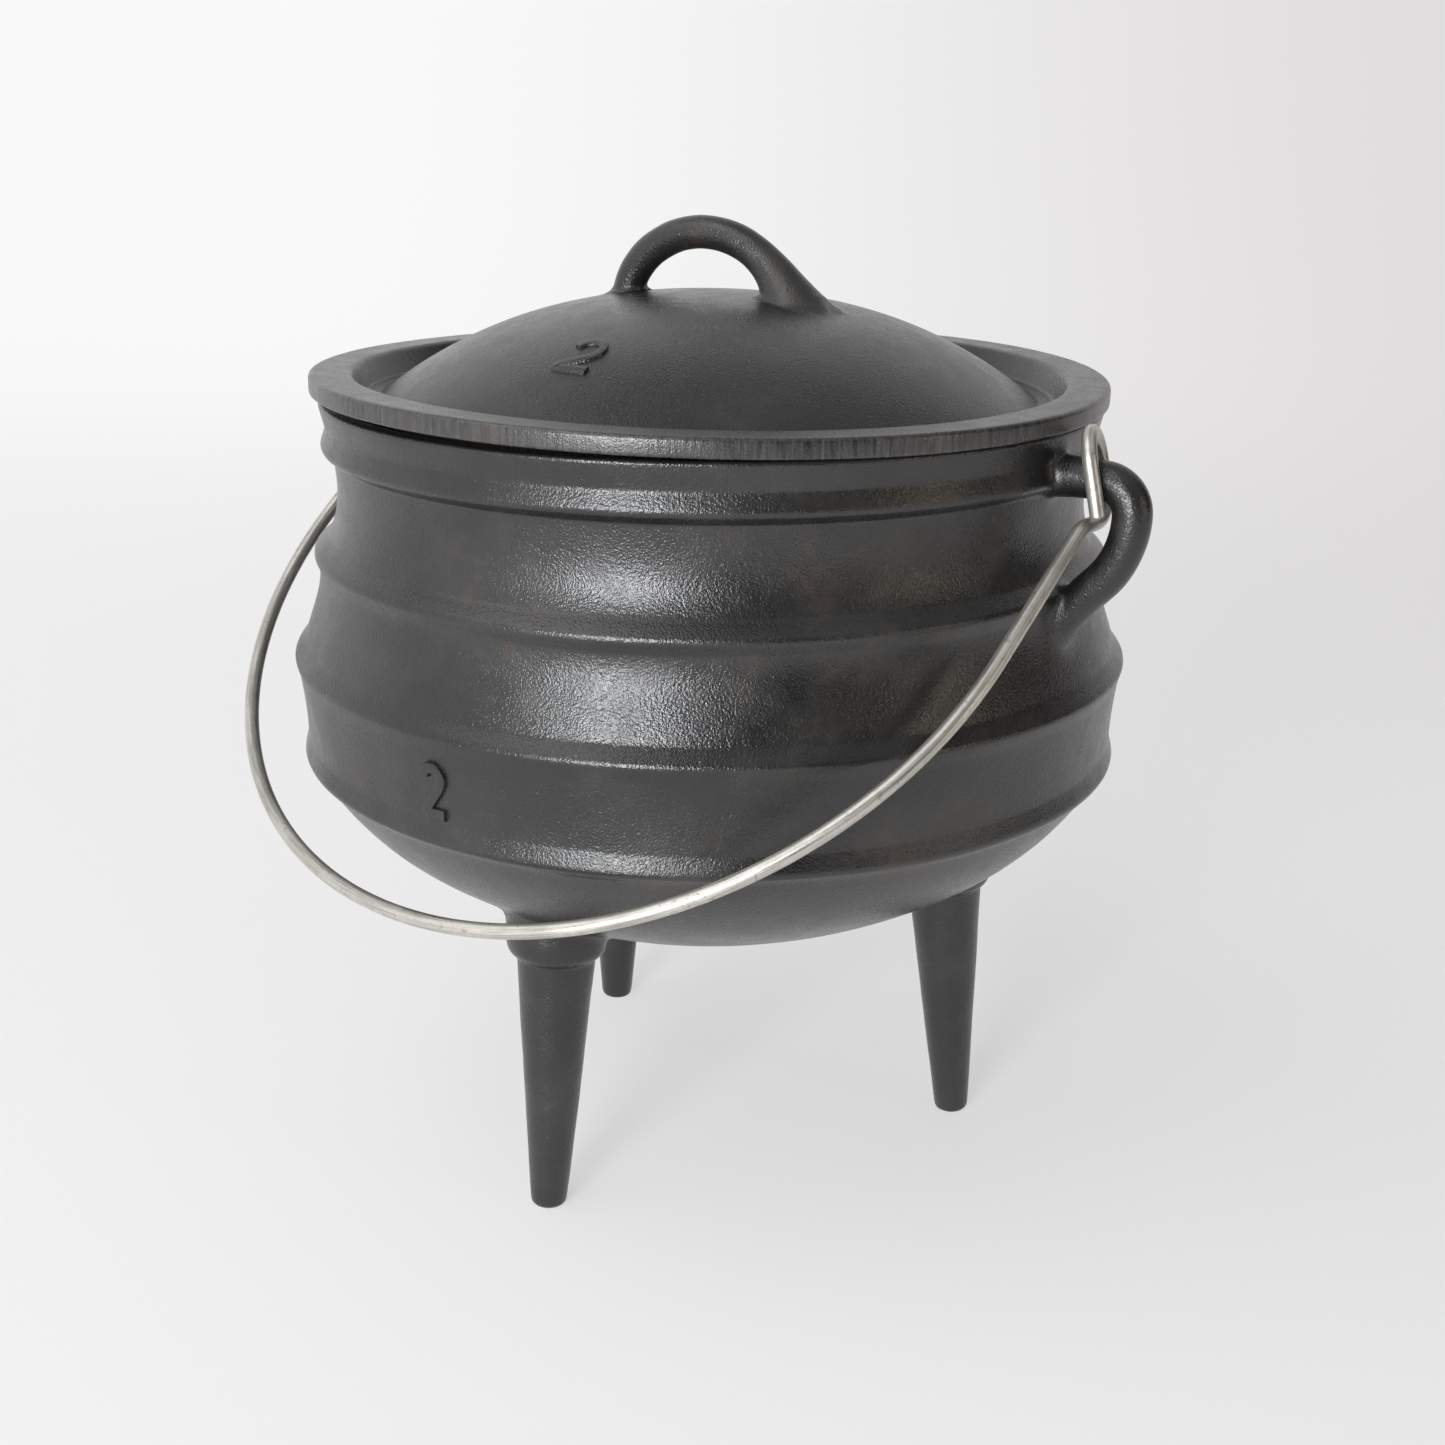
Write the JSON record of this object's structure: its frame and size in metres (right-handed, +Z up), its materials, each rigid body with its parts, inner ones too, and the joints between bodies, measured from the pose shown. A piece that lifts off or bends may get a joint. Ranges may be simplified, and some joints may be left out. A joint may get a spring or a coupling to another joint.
{
  "type": "potjie pot",
  "caption": "Round-bellied cast iron cooking pot on tapered legs, with raised beads, a domed lid with a loop handle and a swinging wire bail.",
  "frame": {"origin": "point on the ground under the pot's axis, at the level of the feet", "axes": "+Z up along the pot's axis, X through the two ears, -Y towards the front leg and the numeral"},
  "size_m": [0.2956, 0.2768, 0.2993],
  "materials": {
    "pot_iron": "seasoned black, satin over a fine sand-cast grain",
    "lid_iron": "seasoned black, satin over a fine sand-cast grain",
    "bail_steel": "bright drawn wire, lightly marked lengthwise"
  },
  "bodies": {
    "pot": {"pot": "pot_iron", "lid": "lid_iron"},
    "bail": {"bail_handle": "bail_steel"}
  },
  "joints": [
    {"name": "bail_swing", "type": "hinge", "parent": "pot", "child": "bail", "pos_m": [0, 0, 0.2341], "axis": [-1, 0, 0], "range_deg": [0, 255]}
  ]
}
